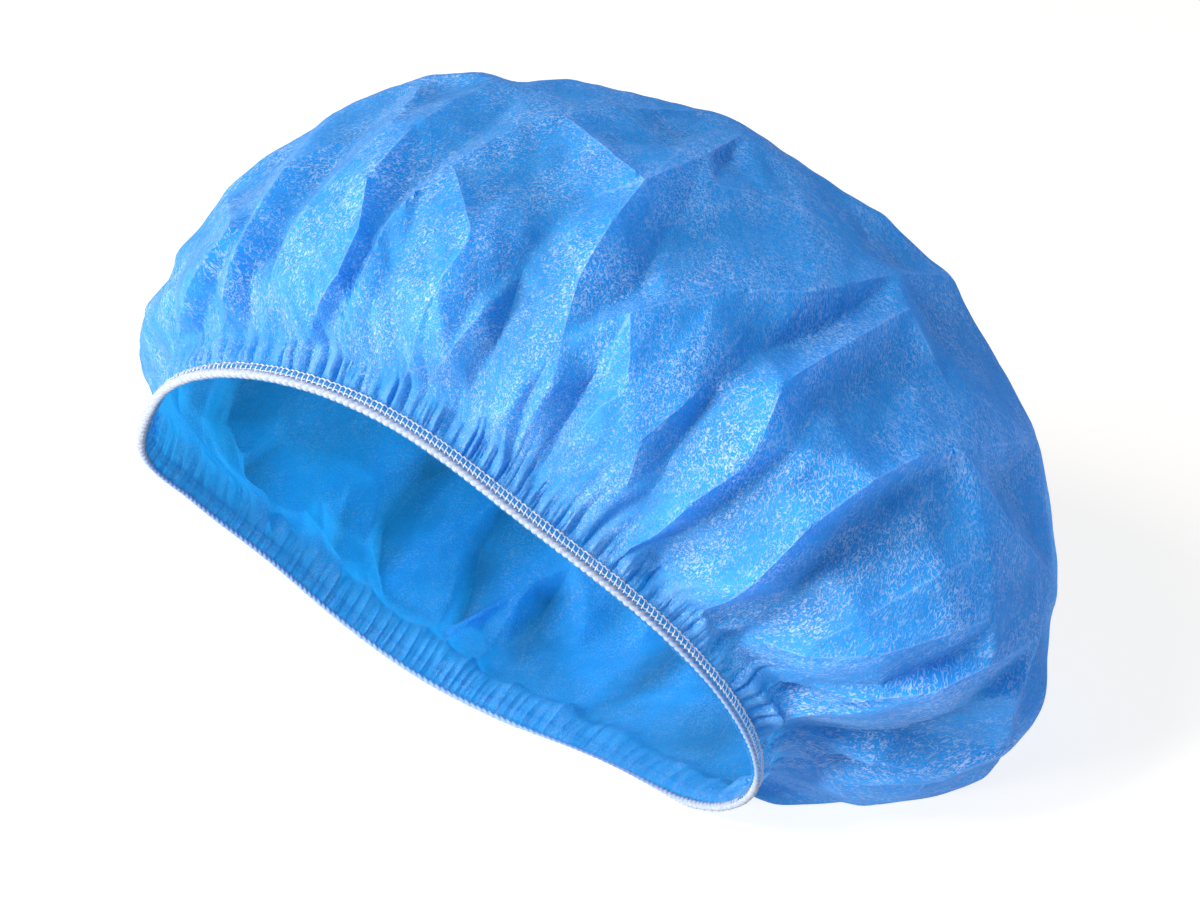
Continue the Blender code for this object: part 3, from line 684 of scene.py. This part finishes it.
def snap_to_folds(x, y, network):
    """Move grid places onto the network's edges where an edge passes within half a cell.

    A cell's width across an edge is the larger of its two steps, measured along the edge's
    normal.  Places that would turn a cell over are put back.
    """
    corners, _, _, edges, _ = network
    step_a = np.stack(np.gradient(x), axis=-1), np.stack(np.gradient(y), axis=-1)
    best = np.full(x.shape, 0.5)
    new_x, new_y = x.copy(), y.copy()
    label = np.full(x.shape, -1)
    for index, (start, end) in enumerate(edges):
        from_x, from_y = corners[start]
        along_x, along_y = corners[end] - corners[start]
        length = max(np.hypot(along_x, along_y), TINY)
        along_x, along_y = along_x / length, along_y / length
        low_x, high_x = sorted((from_x, from_x + along_x * length))
        low_y, high_y = sorted((from_y, from_y + along_y * length))
        near = ((x > low_x - SNAP_BESIDE) & (x < high_x + SNAP_BESIDE)
                & (y > low_y - SNAP_BESIDE) & (y < high_y + SNAP_BESIDE))
        rows, columns = np.nonzero(near)
        if not len(rows):
            continue
        off_x, off_y = x[rows, columns] - from_x, y[rows, columns] - from_y
        share = off_x * along_x + off_y * along_y
        across = off_y * along_x - off_x * along_y
        width_a = np.abs(step_a[1][rows, columns, 0] * along_x
                         - step_a[0][rows, columns, 0] * along_y)
        width_b = np.abs(step_a[1][rows, columns, 1] * along_x
                         - step_a[0][rows, columns, 1] * along_y)
        gap = np.abs(across) / np.maximum(np.maximum(width_a, width_b), TINY)
        good = (gap < best[rows, columns]) & (share > -SNAP_PAST) & (share < length + SNAP_PAST)
        rows, columns = rows[good], columns[good]
        best[rows, columns] = gap[good]
        share = np.clip(share[good], 0, length)
        new_x[rows, columns] = from_x + along_x * share
        new_y[rows, columns] = from_y + along_y * share
        label[rows, columns] = index
    radius = np.hypot(x, y)
    fixed = (radius > 0.985) | (radius < 0.03)
    for _ in range(4):
        new_x[fixed], new_y[fixed], label[fixed] = x[fixed], y[fixed], -1
        turned = np.zeros(x.shape, bool)
        corner_sets = (((0, 0), (1, 0), (1, 1)), ((0, 0), (1, 1), (0, 1)),
                       ((0, 0), (1, 0), (0, 1)), ((1, 0), (1, 1), (0, 1)))
        rows, columns = x.shape[0] - 1, x.shape[1] - 1
        for three in corner_sets:
            picked = [(slice(i, i + rows), slice(j, j + columns)) for i, j in three]
            p, q, r = picked
            new_area = ((new_x[q] - new_x[p]) * (new_y[r] - new_y[p])
                        - (new_y[q] - new_y[p]) * (new_x[r] - new_x[p]))
            area = ((x[q] - x[p]) * (y[r] - y[p]) - (y[q] - y[p]) * (x[r] - x[p]))
            bad = new_area * np.sign(area) < CELL_LEFT * np.abs(area)
            for pick in picked:
                turned[pick] |= bad
        if not turned.any():
            break
        fixed = fixed | turned
    return new_x, new_y, label


def facets(x, y, network, corner_points):
    """Lift and flat place of the cloth at disc places, from the triangle that each lies in."""
    corners, lifts, triangles = network[:3]
    best = np.full(x.shape, -np.inf)
    lift = np.zeros_like(x)
    flat = np.zeros((len(x), 3))
    for one, two, three in triangles:
        a, b, c = corners[one], corners[two], corners[three]
        low, high = np.minimum(np.minimum(a, b), c) - 0.01, np.maximum(np.maximum(a, b), c) + 0.01
        near = np.flatnonzero((x > low[0]) & (x < high[0]) & (y > low[1]) & (y < high[1]))
        area = (b[0] - a[0]) * (c[1] - a[1]) - (b[1] - a[1]) * (c[0] - a[0])
        if not len(near) or abs(area) < LEAST_AREA:
            continue
        to_x, to_y = x[near] - a[0], y[near] - a[1]
        share_b = (to_x * (c[1] - a[1]) - to_y * (c[0] - a[0])) / area
        share_c = ((b[0] - a[0]) * to_y - (b[1] - a[1]) * to_x) / area
        share_a = 1 - share_b - share_c
        inside = np.minimum(np.minimum(share_a, share_b), share_c)
        better = inside > best[near]
        near = near[better]
        shares = np.column_stack([share_a, share_b, share_c])[better]
        best[near] = inside[better]
        lift[near] = shares @ lifts[[one, two, three]]
        flat[near] = shares @ corner_points[[one, two, three]]
    return lift, flat


def ripples(x, y, wavelength, waves, seed):
    """Smooth seeded unevenness from -1 to 1: the mean of waves that run every way."""
    rng = np.random.default_rng(seed)
    total = np.zeros_like(x)
    for _ in range(waves):
        way = rng.uniform(0, 2 * pi)
        size = rng.uniform(0.7, 1.4) * wavelength
        start = rng.uniform(0, 2 * pi)
        total += np.cos(2 * pi / size * (x * cos(way) + y * sin(way)) + start)
    return total / np.sqrt(waves) / 1.2


def uneven_gathers(around, up, count, long, seed):
    """Gathers of uneven width, height and length round the rim, from about -1 to 1.

    The phase runs through seeded widths; the height at a phase is 2 |cos|^0.7 - 1, and each
    gather dies out along its own length.
    """
    rng = np.random.default_rng(seed)
    widths = rng.uniform(0.55, 1.45, count)
    edges = np.concatenate([[0], np.cumsum(widths)]) / widths.sum()
    turn = (around / (2 * pi)) % 1
    phase = np.interp(turn, edges, np.arange(count + 1))
    index = phase.astype(int) % count
    share = phase - np.floor(phase)
    heights = rng.uniform(0.30, 1.20, count)
    lengths = rng.uniform(0.35, 1.6, count) * long
    blend = 0.5 - 0.5 * np.cos(pi * share)
    height = heights[index] * (1 - blend) + heights[(index + 1) % count] * blend
    length = lengths[index] * (1 - blend) + lengths[(index + 1) % count] * blend
    wave = 2 * np.abs(np.cos(pi * share)) ** 0.7 - 1
    fall = np.clip(1 - up / length, 0, 1) ** 2.0
    return wave * height * fall


def far_side(around):
    """0 on the near side, 1 on the far side, with an S between them at both ends."""
    return smooth_step(0.15 - 2.5 * np.sin(around))


def gathers(x, y):
    """Lift of all gathers, in metres, and how far a place is on a gather's ridge, -1 to 1."""
    up = 1 - np.hypot(x, y)
    around = np.arctan2(-y, x)
    sway = 0.012 * ripples(x * 3, y * 3, 0.5, 8, SEED + 1) * np.clip(up / 0.1, 0, 1)
    start = 0.10 + 0.50 * far_side(around)
    rise = start + (1 - start) * smooth_step((up + 0.002) / 0.018)
    fine = uneven_gathers(around + sway, np.maximum(up, 0), GATHERS, GATHER_LONG, SEED + 2)
    wide = uneven_gathers(around + sway, np.maximum(up, 0), MERGED_GATHERS, MERGED_LONG, SEED + 3)
    wide_rise = smooth_step(up / 0.03)
    pleat = uneven_gathers(around + sway, np.maximum(up, 0), LONG_PLEATS, LONG_PLEAT_LONG, SEED + 5)
    long_lift = LONG_PLEAT_LIFT * pleat * smooth_step(up / 0.12)
    pucker = uneven_gathers(around, np.maximum(up, 0), PUCKERS, PUCKER_LONG, SEED + 6)
    calm = 1 - FAR_CALM * far_side(around)
    lift = (GATHER_LIFT * fine + PUCKER_LIFT * pucker) * rise + MERGED_LIFT * wide * wide_rise
    return lift * calm + long_lift, (fine * rise + 0.5 * wide * wide_rise) * calm


def soften(grid, hold):
    """Draw each inner point of a grid towards the mean of its four neighbours.

    It goes half of the way in each round, times hold, which is less than 1 on creases.
    """
    for _ in range(SOFTEN_TIMES):
        mean = (grid[2:, 1:-1] + grid[:-2, 1:-1] + grid[1:-1, 2:] + grid[1:-1, :-2]) / 4
        grid[1:-1, 1:-1] += (mean - grid[1:-1, 1:-1]) * (0.5 * hold[1:-1, 1:-1, None])
    return grid


def cloth_points(x, y, network, on_crease):
    """Scene points of the cloth at a grid of disc places, how far each is on a gather's ridge, for
    a painted highlight on the crests, and the fold relief, for painted shade in the grooves and
    painted highlight on the ridges.
    """
    shape = x.shape
    x, y = x.ravel(), y.ravel()
    radius = np.hypot(x, y)
    up = 1 - radius
    inside = np.minimum(1, 1 / np.maximum(radius, TINY))
    base = pulled(x * inside, y * inside)
    normal = outward(x, y)
    corners, lifts = network[:2]
    corner_points = pulled(*corners.T) + outward(*corners.T) * lifts[:, None]
    lift, flat = facets(x, y, network, corner_points)
    low = smooth_step(up / 0.03)
    curved = base + normal * (lift * low)[:, None]
    flatness = (FLATNESS * smooth_step((up - FLAT_FROM) / (FLAT_FULL - FLAT_FROM)))[:, None]
    points = curved * (1 - flatness) + flat * flatness
    hold = np.where(on_crease, CREASE_GIVES, 1.0) * smooth_step(up / 0.04).reshape(shape)
    points = soften(points.reshape(*shape, 3), hold).reshape(-1, 3)
    gather, shade = gathers(x, y)
    crumple = ripples(x, y, CRUMPLE_STEP, 10, SEED + 4) * CRUMPLE_LIFT * smooth_step(up / 0.1)
    points = points + normal * (gather + crumple)[:, None]
    hem = np.clip(-up / -RINGS[0][1], 0, 1)
    points[:, 2] -= hem * HEM_DEPTH
    far = far_side(np.arctan2(-y, x))
    # relief: the fold's lift, turned over on the far side where the inside is seen; it darkens
    # grooves as painted shade and lightens ridges as painted highlight
    relief = np.clip(lift * (1 + FAR_RELIEF * far) / RELIEF_FULL, -1, 1) * (1 - 2 * far)
    return lay(points), shade, relief * smooth_step(up / 0.1)


def mesh_piece(name, points, faces, smooth=True):
    """A new object of triangles or quads, given as whole arrays."""
    mesh = bpy.data.meshes.new(name)
    mesh.from_pydata(points.tolist(), [], faces.tolist())
    mesh.update()
    if smooth:
        mesh.shade_smooth()
    item = bpy.data.objects.new(name, mesh)
    bpy.context.scene.collection.objects.link(item)
    return item


def add_attribute(item, name, values):
    """One number for each point of a piece, which its material reads by name."""
    layer = item.data.attributes.new(name, "FLOAT", "POINT")
    layer.data.foreach_set("value", np.asarray(values, np.float32))


def add_uv(item, u, v):
    """The flat cut as the piece's UV map, in metres."""
    layer = item.data.uv_layers.new(name="flat_cut")
    corner = np.empty(len(item.data.loops), np.int32)
    item.data.loops.foreach_get("vertex_index", corner)
    layer.data.foreach_set("uv", np.column_stack([u[corner], v[corner]]).ravel())


def grid_triangles(shape, label, points):
    """Triangles of a grid, each cell cut along the diagonal that lies on a fold or is shorter."""
    number = np.arange(shape[0] * shape[1]).reshape(shape)
    a, b = number[:-1, :-1].ravel(), number[1:, :-1].ravel()
    c, d = number[1:, 1:].ravel(), number[:-1, 1:].ravel()
    label = label.ravel()
    first = 2.0 * ((label[a] == label[c]) & (label[a] >= 0))
    second = 2.0 * ((label[b] == label[d]) & (label[b] >= 0))
    first += 1.0 * ((label[a] >= 0) & (label[c] >= 0))
    second += 1.0 * ((label[b] >= 0) & (label[d] >= 0))
    long_first = np.linalg.norm(points[a] - points[c], axis=1)
    long_second = np.linalg.norm(points[b] - points[d], axis=1)
    use_first = (first > second) | ((first == second) & (long_first <= long_second))
    one = np.where(use_first[:, None], np.column_stack([a, b, c]), np.column_stack([a, b, d]))
    two = np.where(use_first[:, None], np.column_stack([a, c, d]), np.column_stack([b, c, d]))
    return np.vstack([one, two])


def fold_line_highlight(label, network):
    """1 on the outward folds of the chart, 0 elsewhere, on the cloth's grid: where a painted
    highlight runs along the ridge lines.
    """
    lifts, edges, on_fold = network[1], network[3], network[4]
    strength = np.append(np.where(on_fold & (lifts[edges].mean(axis=1) > 0), 1.0, 0.0), 0.0)
    return strength[label]


def make_cloth():
    """The whole cloth as one sheet, from the hem inside the elastic to the crown."""
    network = fold_network()
    x, y = disc_grid()
    x, y, label = snap_to_folds(x, y, network)
    flat_x, flat_y = x.ravel(), y.ravel()
    # crease: 1 on the outward fold lines, where the cloth gets a painted highlight and softening
    # holds the crease
    crease = fold_line_highlight(label, network)
    points, shade, relief = cloth_points(x, y, network, crease > 0)
    faces = grid_triangles(x.shape, label, points)
    item = mesh_piece("bouffant_cloth", points, faces)
    item.data.set_sharp_from_angle(angle=radians(24))
    add_uv(item, flat_x * DISC_RADIUS, flat_y * DISC_RADIUS)
    # gather: how far each place is on a gather's ridge; the crests get a painted highlight
    add_attribute(item, "gather", shade)
    # crease sets the painted highlight along the outward fold lines
    add_attribute(item, "crease", crease.ravel())
    # relief sets painted shade in the grooves and painted highlight on the ridges
    add_attribute(item, "relief", relief)
    add_attribute(item, "far", far_side(np.arctan2(-flat_y, flat_x)))
    return item


def rim_path(count):
    """Points along the rim, evenly spaced, with unit vectors along it, outward and down."""
    angle = np.linspace(0, 2 * pi, 4001)
    rim = pulled(np.cos(angle), np.sin(angle))
    length = np.concatenate([[0], np.cumsum(np.linalg.norm(np.diff(rim, axis=0), axis=1))])
    even = np.linspace(0, length[-1], count, endpoint=False)
    turn = np.interp(even, length, angle)
    points = pulled(np.cos(turn), np.sin(turn))
    along = np.roll(points, -1, axis=0) - np.roll(points, 1, axis=0)
    along /= np.linalg.norm(along, axis=1)[:, None]
    down = np.array([0, 0, -1.0]) - along * (along @ [0, 0, -1.0])[:, None]
    down /= np.linalg.norm(down, axis=1)[:, None]
    out = np.cross(along, down)
    out *= np.sign((out * points).sum(axis=1))[:, None]
    return points, along, out, down, turn, length[-1]


def fullness(turn):
    """How full the wrapping is at turns of the disc, read from its table in straight lines."""
    around, share = np.transpose(FULLNESS)
    return np.interp(np.degrees(-turn) % 360, around, share)


def bead_line(points, out, down, turn):
    """The middle line of the bead: under the rim, and drawn in and down on the far side."""
    far = far_side(-turn)[:, None]
    return points + down * (BEAD_DROP + FAR_DROP * far) + out * (BEAD_OUT - FAR_IN * far)


def ring_faces(columns, sides):
    """Quads of a closed tube that runs round in a loop."""
    column, side = np.meshgrid(np.arange(columns), np.arange(sides), indexing="ij")
    here = column * sides + side
    beside = ((column + 1) % columns) * sides + side
    return np.stack([here, beside, (beside - side) + (side + 1) % sides,
                     (here - side) + (side + 1) % sides], axis=-1).reshape(-1, 4)


def make_bead():
    """The wrapped elastic: a tube along the rim whose ribs are the turns of the wrapping.

    Its radius swells by |sin| between two grooves, the ribs slant round it, and slow waves
    make it lumpy.
    """
    ribs = int(round(rim_path(RIB_COLUMNS)[-1] / RIB_PITCH))
    columns = ribs * RIB_COLUMNS
    points, _, out, down, turn, _ = rim_path(columns)
    angle = 2 * pi * np.arange(BEAD_SIDES) / BEAD_SIDES
    rib = (np.arange(columns) / RIB_COLUMNS)[:, None] + RIB_SLANT * np.sin(angle)[None, :]
    rng = np.random.default_rng(SEED + 9)
    size = rng.uniform(0.82, 1.12, ribs)
    whole = np.floor(rib).astype(int) % ribs
    swell = np.abs(np.sin(pi * (rib - np.floor(rib)))) ** 0.6
    full = fullness(turn)[:, None]
    radius = BEAD_RADIUS * full * (0.62 + 0.46 * swell * size[whole])
    centre = bead_line(points, out, down, turn)
    ring = (out[:, None, :] * np.cos(angle)[None, :, None]
            + down[:, None, :] * np.sin(angle)[None, :, None])
    surface = centre[:, None, :] + ring * radius[:, :, None]
    faces = ring_faces(columns, BEAD_SIDES)
    item = mesh_piece("elastic_bead", lay(surface.reshape(-1, 3)), faces)
    # groove: deep between the ribs, as painted shade, and where the wrapping is thin and the blue
    # cloth shows through
    add_attribute(item, "groove", np.clip(1 - swell + 2 * (0.9 - full), 0, 1).ravel())
    return item


def thread_tubes(paths, radius, sides=5):
    """Tubes along many paths of one length: points are paths x steps x 3."""
    along = np.gradient(paths, axis=1)
    along /= np.maximum(np.linalg.norm(along, axis=2), TINY)[:, :, None]
    side = np.cross(along, np.array([0.31, 0.52, 0.79]))
    side /= np.maximum(np.linalg.norm(side, axis=2), TINY)[:, :, None]
    other = np.cross(along, side)
    angle = 2 * pi * np.arange(sides) / sides
    ring = (side[:, :, None, :] * np.cos(angle)[:, None] + other[:, :, None, :]
            * np.sin(angle)[:, None])
    points = paths[:, :, None, :] + ring * np.reshape(radius, (-1, 1, 1, 1))
    count, steps = paths.shape[:2]
    path, step, turn = np.meshgrid(np.arange(count), np.arange(steps - 1), np.arange(sides),
                                   indexing="ij")
    here = (path * steps + step) * sides
    after = here + sides
    following = (turn + 1) % sides
    faces = np.stack([here + turn, after + turn, after + following, here + following], axis=-1)
    return points.reshape(-1, 3), faces.reshape(-1, 4)


def near_rim(turn, up, out):
    """Points at turns of the disc and shares up, a distance outside the gathered cloth."""
    x, y = (1 - up) * np.cos(turn), (1 - up) * np.sin(turn)
    inside = np.minimum(1, 1 / np.hypot(x, y))
    normal = outward(x, y)
    points = pulled(x * inside, y * inside) + normal * (gathers(x, y)[0] + out)[:, None]
    points[:, 2] -= np.clip(-up / -RINGS[0][1], 0, 1) * HEM_DEPTH
    return points


def make_threads():
    """Two stitched lines along the gathers and the small loops that join them to the bead."""
    sets = []
    turn = rim_path(RAIL_STEPS)[4]
    stitch = np.arange(RAIL_STEPS) / RAIL_STEPS * RIM_STITCHES
    for up in RAIL_UPS:
        wiggle = RAIL_WIGGLE * np.sin(2 * pi * stitch)
        path = near_rim(turn, up + wiggle, np.full(RAIL_STEPS, THREAD_OUT))
        sets.append(thread_tubes(np.vstack([path, path[:1]])[None], THREAD))
    points, along, out, down, turn, _ = rim_path(RIM_STITCHES)
    steps = np.linspace(0, 1, 9)
    low = bead_line(points, out, down, turn) - down * BEAD_RADIUS * 0.6 + out * LOOP_OUT
    high = near_rim(turn, np.full(RIM_STITCHES, RAIL_UPS[0]), np.full(RIM_STITCHES, THREAD_OUT))
    share = steps[None, :, None]
    paths = high[:, None, :] * (1 - share) + low[:, None, :] * share
    paths = (paths + out[:, None, :] * (LOOP_BULGE * np.sin(pi * share))
             + along[:, None, :] * (LOOP_SLANT * share))
    sets.append(thread_tubes(paths, THREAD * 0.8 * fullness(turn)))
    all_points, all_faces, start = [], [], 0
    for set_points, set_faces in sets:
        all_points.append(set_points)
        all_faces.append(set_faces + start)
        start += len(set_points)
    return mesh_piece("edge_threads", lay(np.vstack(all_points)), np.vstack(all_faces))


def new_material(name):
    """A material and its tree of nodes, with only the shader and the output in it."""
    finish = bpy.data.materials.new(name)
    finish.use_nodes = True
    return finish, finish.node_tree


def set_inputs(node, **values):
    """Values on a node's own sockets, whose names are written with _ for a space."""
    for name, value in values.items():
        node.inputs[name.replace("_", " ")].default_value = value


def noise(tree, place, scale, detail, roughness=0.5, distortion=0.0):
    """Soft noise over places."""
    node = tree.nodes.new("ShaderNodeTexNoise")
    set_inputs(node, Scale=scale, Detail=detail, Roughness=roughness, Distortion=distortion)
    tree.links.new(place, node.inputs["Vector"])
    return node.outputs["Fac"]


def attribute(tree, name):
    """An attribute of the piece's points."""
    node = tree.nodes.new("ShaderNodeAttribute")
    node.attribute_name = name
    return node.outputs["Fac"]


def ranged(tree, value, low, high, low_result, high_result):
    """A value from low to high made to run between two results, and held beyond them."""
    node = tree.nodes.new("ShaderNodeMapRange")
    set_inputs(node, From_Min=low, From_Max=high, To_Min=low_result, To_Max=high_result)
    tree.links.new(value, node.inputs["Value"])
    return node.outputs[0]


def reckoned(tree, operation, *values):
    """The result of a math node, whose values are numbers or other nodes' outputs."""
    node = tree.nodes.new("ShaderNodeMath")
    node.operation = operation
    for socket, value in zip(node.inputs, values):
        if isinstance(value, float):
            socket.default_value = value
        else:
            tree.links.new(value, socket)
    return node.outputs[0]


def ramp(tree, value, low_place, low, high_place, high):
    """A colour that runs from low to high between two places of a value."""
    node = tree.nodes.new("ShaderNodeValToRGB")
    for element, place, colour in zip(node.color_ramp.elements, (low_place, high_place),
                                      (low, high)):
        element.position, element.color = place, colour
    tree.links.new(value, node.inputs["Fac"])
    return node.outputs["Color"]


def mixed(tree, first, share, second):
    """A colour output drawn towards a plain colour by a share, a number or an output."""
    node = tree.nodes.new("ShaderNodeMix")
    node.data_type = "RGBA"
    node.inputs["B"].default_value = second
    tree.links.new(first, node.inputs["A"])
    if isinstance(share, float):
        node.inputs["Factor"].default_value = share
    else:
        tree.links.new(share, node.inputs["Factor"])
    return node.outputs["Result"]


def scaled(tree, colour, scale):
    """A colour made lighter or deeper by a scale."""
    node = tree.nodes.new("ShaderNodeVectorMath")
    node.operation = "SCALE"
    tree.links.new(colour, node.inputs[0])
    tree.links.new(scale, node.inputs["Scale"])
    return node.outputs[0]


def bumped(tree, height, strength, distance):
    """The normal of a surface with a height on it, the distance in metres."""
    node = tree.nodes.new("ShaderNodeBump")
    set_inputs(node, Strength=strength, Distance=distance)
    tree.links.new(height, node.inputs["Height"])
    return node.outputs["Normal"]


def cloth_finish():
    """Spun-bonded cloth: pressed strands, cloudy density, and painted highlight along the fold
    lines and gather crests.

    Part of the light goes through it; the cloth is darker in the grooves of the folds as painted
    shade and lighter on their crests as painted highlight.
    """
    finish, tree = new_material("nonwoven_blue")
    shader = tree.nodes["Principled BSDF"]
    set_inputs(shader, Roughness=0.62, Specular_IOR_Level=0.35, Sheen_Weight=0.08,
               Sheen_Roughness=0.5)
    flat_cut = tree.nodes.new("ShaderNodeUVMap")
    flat_cut.uv_map = "flat_cut"
    place = flat_cut.outputs["UV"]
    turned = tree.nodes.new("ShaderNodeMapping")
    set_inputs(turned, Rotation=(0, 0, radians(12)), Scale=(620, 1150, 1))
    tree.links.new(place, turned.inputs["Vector"])

    from_line = reckoned(tree, "SUBTRACT", noise(tree, turned.outputs[0], 1.0, 1.6,
                                                 distortion=0.6), 0.5)
    strand = ranged(tree, reckoned(tree, "ABSOLUTE", from_line), 0.012, 0.070, 1.0, 0.0)
    patches = ranged(tree, noise(tree, place, 48, 4, 0.6), 0.40, 0.60, 0.28, 1.0)
    quiet = ranged(tree, attribute(tree, "far"), 0.0, 1.0, 0.72, 0.36)
    strands = reckoned(tree, "MULTIPLY", reckoned(tree, "MULTIPLY", strand, patches), quiet)
    colour = ramp(tree, noise(tree, place, 110, 5, 0.65), 0.30, (0.008, 0.240, 0.60, 1),
                  0.72, (0.030, 0.365, 0.78, 1))
    colour = mixed(tree, colour, strands, (0.66, 0.84, 1.0, 1))
    # Painted highlight: a pale line along the outward fold lines
    creases = ranged(tree, attribute(tree, "crease"), 0.66, 1.0, 0.0, 0.30)
    colour = mixed(tree, colour, creases, (0.45, 0.70, 1.0, 1))
    # Painted highlight: the crests of the gathers are drawn paler
    ridges = ranged(tree, attribute(tree, "gather"), 0.15, 1.0, 0.0, 0.40)
    colour = mixed(tree, colour, ridges, (0.34, 0.64, 0.97, 1))
    # Painted shade and highlight: the colour is scaled darker in the fold grooves and lighter on
    # the ridges by the relief
    painted_fold_shading = ranged(tree, attribute(tree, "relief"), -1.0, 1.0, 0.70, 1.16)
    tree.links.new(scaled(tree, colour, painted_fold_shading), shader.inputs["Base Color"])

    height = reckoned(tree, "MULTIPLY_ADD", noise(tree, place, 1500, 3), 0.35, strand)
    normal = bumped(tree, height, 0.70, 0.00030)
    tree.links.new(normal, shader.inputs["Normal"])

    through = tree.nodes.new("ShaderNodeBsdfTranslucent")
    # The light that goes through carries the same painted shade and highlight
    lit = mixed(tree, colour, 0.80, (0.01, 0.43, 1.0, 1))
    tree.links.new(scaled(tree, lit, painted_fold_shading), through.inputs["Color"])
    tree.links.new(normal, through.inputs["Normal"])
    both = tree.nodes.new("ShaderNodeMixShader")
    both.inputs["Fac"].default_value = 0.46
    tree.links.new(shader.outputs[0], both.inputs[1])
    tree.links.new(through.outputs[0], both.inputs[2])
    tree.links.new(both.outputs[0], tree.nodes["Material Output"].inputs["Surface"])
    return finish


def white_finish(name, low, high, grooved=False):
    """White wrapping or thread; on the wrapping, bluish grooves between its turns, partly the blue
    cloth showing through and partly painted shade.
    """
    finish, tree = new_material(name)
    shader = tree.nodes["Principled BSDF"]
    set_inputs(shader, Roughness=0.75, Sheen_Weight=0.1)
    place = tree.nodes.new("ShaderNodeTexCoord").outputs["Object"]
    grain = noise(tree, place, 1800, 3)
    colour = ramp(tree, grain, 0.3, low, 0.6, high)
    if grooved:
        # Bluish in the grooves: painted shade between the ribs, and the blue cloth where the
        # wrapping is thin
        depth = ranged(tree, attribute(tree, "groove"), 0.20, 0.95, 0.0, 0.85)
        colour = mixed(tree, colour, depth, (0.12, 0.26, 0.62, 1))
    tree.links.new(colour, shader.inputs["Base Color"])
    tree.links.new(bumped(tree, grain, 0.5, 0.00015), shader.inputs["Normal"])
    return finish


def make_floor():
    """A plain pale floor, wide enough to fill the view."""
    mesh = bpy.data.meshes.new("floor")
    half, level = 6.0, -FLOOR_GAP
    mesh.from_pydata([(-half, -half, level), (half, -half, level), (half, half, level),
                      (-half, half, level)], [], [(0, 1, 2, 3)])
    floor = bpy.data.objects.new("floor", mesh)
    bpy.context.scene.collection.objects.link(floor)
    finish, tree = new_material("pale_floor")
    set_inputs(tree.nodes["Principled BSDF"], Base_Color=(0.40, 0.37, 0.33, 1),
               Emission_Color=(1, 1, 1, 1), Emission_Strength=0.80, Roughness=0.9,
               Specular_IOR_Level=0.1)
    mesh.materials.append(finish)


def soft_light(name, place, target, size, power, colour=(1, 1, 1)):
    """A square soft light that faces a target."""
    data = bpy.data.lights.new(name, "AREA")
    data.shape = "SQUARE"
    data.size = size
    data.energy = power
    data.color = colour
    lamp = bpy.data.objects.new(name, data)
    lamp.location = place
    lamp.rotation_euler = (Vector(target) - Vector(place)).to_track_quat("-Z", "Y").to_euler()
    bpy.context.scene.collection.objects.link(lamp)


def make_studio():
    """The camera, the soft lights and the pale surroundings."""
    data = bpy.data.cameras.new("camera")
    data.lens = LENS_MM
    data.sensor_width = SENSOR_MM
    data.clip_end = 50
    camera = bpy.data.objects.new("camera", data)
    camera.location = CAMERA_PLACE
    camera.rotation_euler = (radians(90 - LOOK_DOWN), 0, 0)
    bpy.context.scene.collection.objects.link(camera)
    bpy.context.scene.camera = camera
    soft_light("key", (-0.66, -0.66, 0.98), (0, 0, 0.08), 0.42, 18.6)
    soft_light("mouth light", (-1.00, -0.72, 0.22), (0, 0, 0.08), 0.25, 19)
    world = bpy.data.worlds.new("studio")
    world.use_nodes = True
    bpy.context.scene.world = world
    world.node_tree.nodes["Background"].inputs["Color"].default_value = (1, 1, 1, 1)
    world.node_tree.nodes["Background"].inputs["Strength"].default_value = 0.25
    bpy.context.scene.view_settings.view_transform = "Standard"


def main():
    """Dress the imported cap: the cloth, the wrapped elastic and its threads."""
    make_studio()
    make_floor()
    cloth = make_cloth()
    bead = make_bead()
    threads = make_threads()
    cloth.data.materials.append(cloth_finish())
    bead.data.materials.append(white_finish("wrapped_elastic", (0.19, 0.23, 0.34, 1),
                                            (0.33, 0.36, 0.42, 1), grooved=True))
    threads.data.materials.append(white_finish("white_thread", (0.56, 0.62, 0.76, 1),
                                               (0.74, 0.77, 0.82, 1)))
    for item, node, slot in ((cloth, "crown", "nonwoven_cloth"),
                             (bead, "elastic_edge", "elastic_band"),
                             (threads, "elastic_edge", "elastic_band")):
        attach(item, "root")
        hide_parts(node)


main()
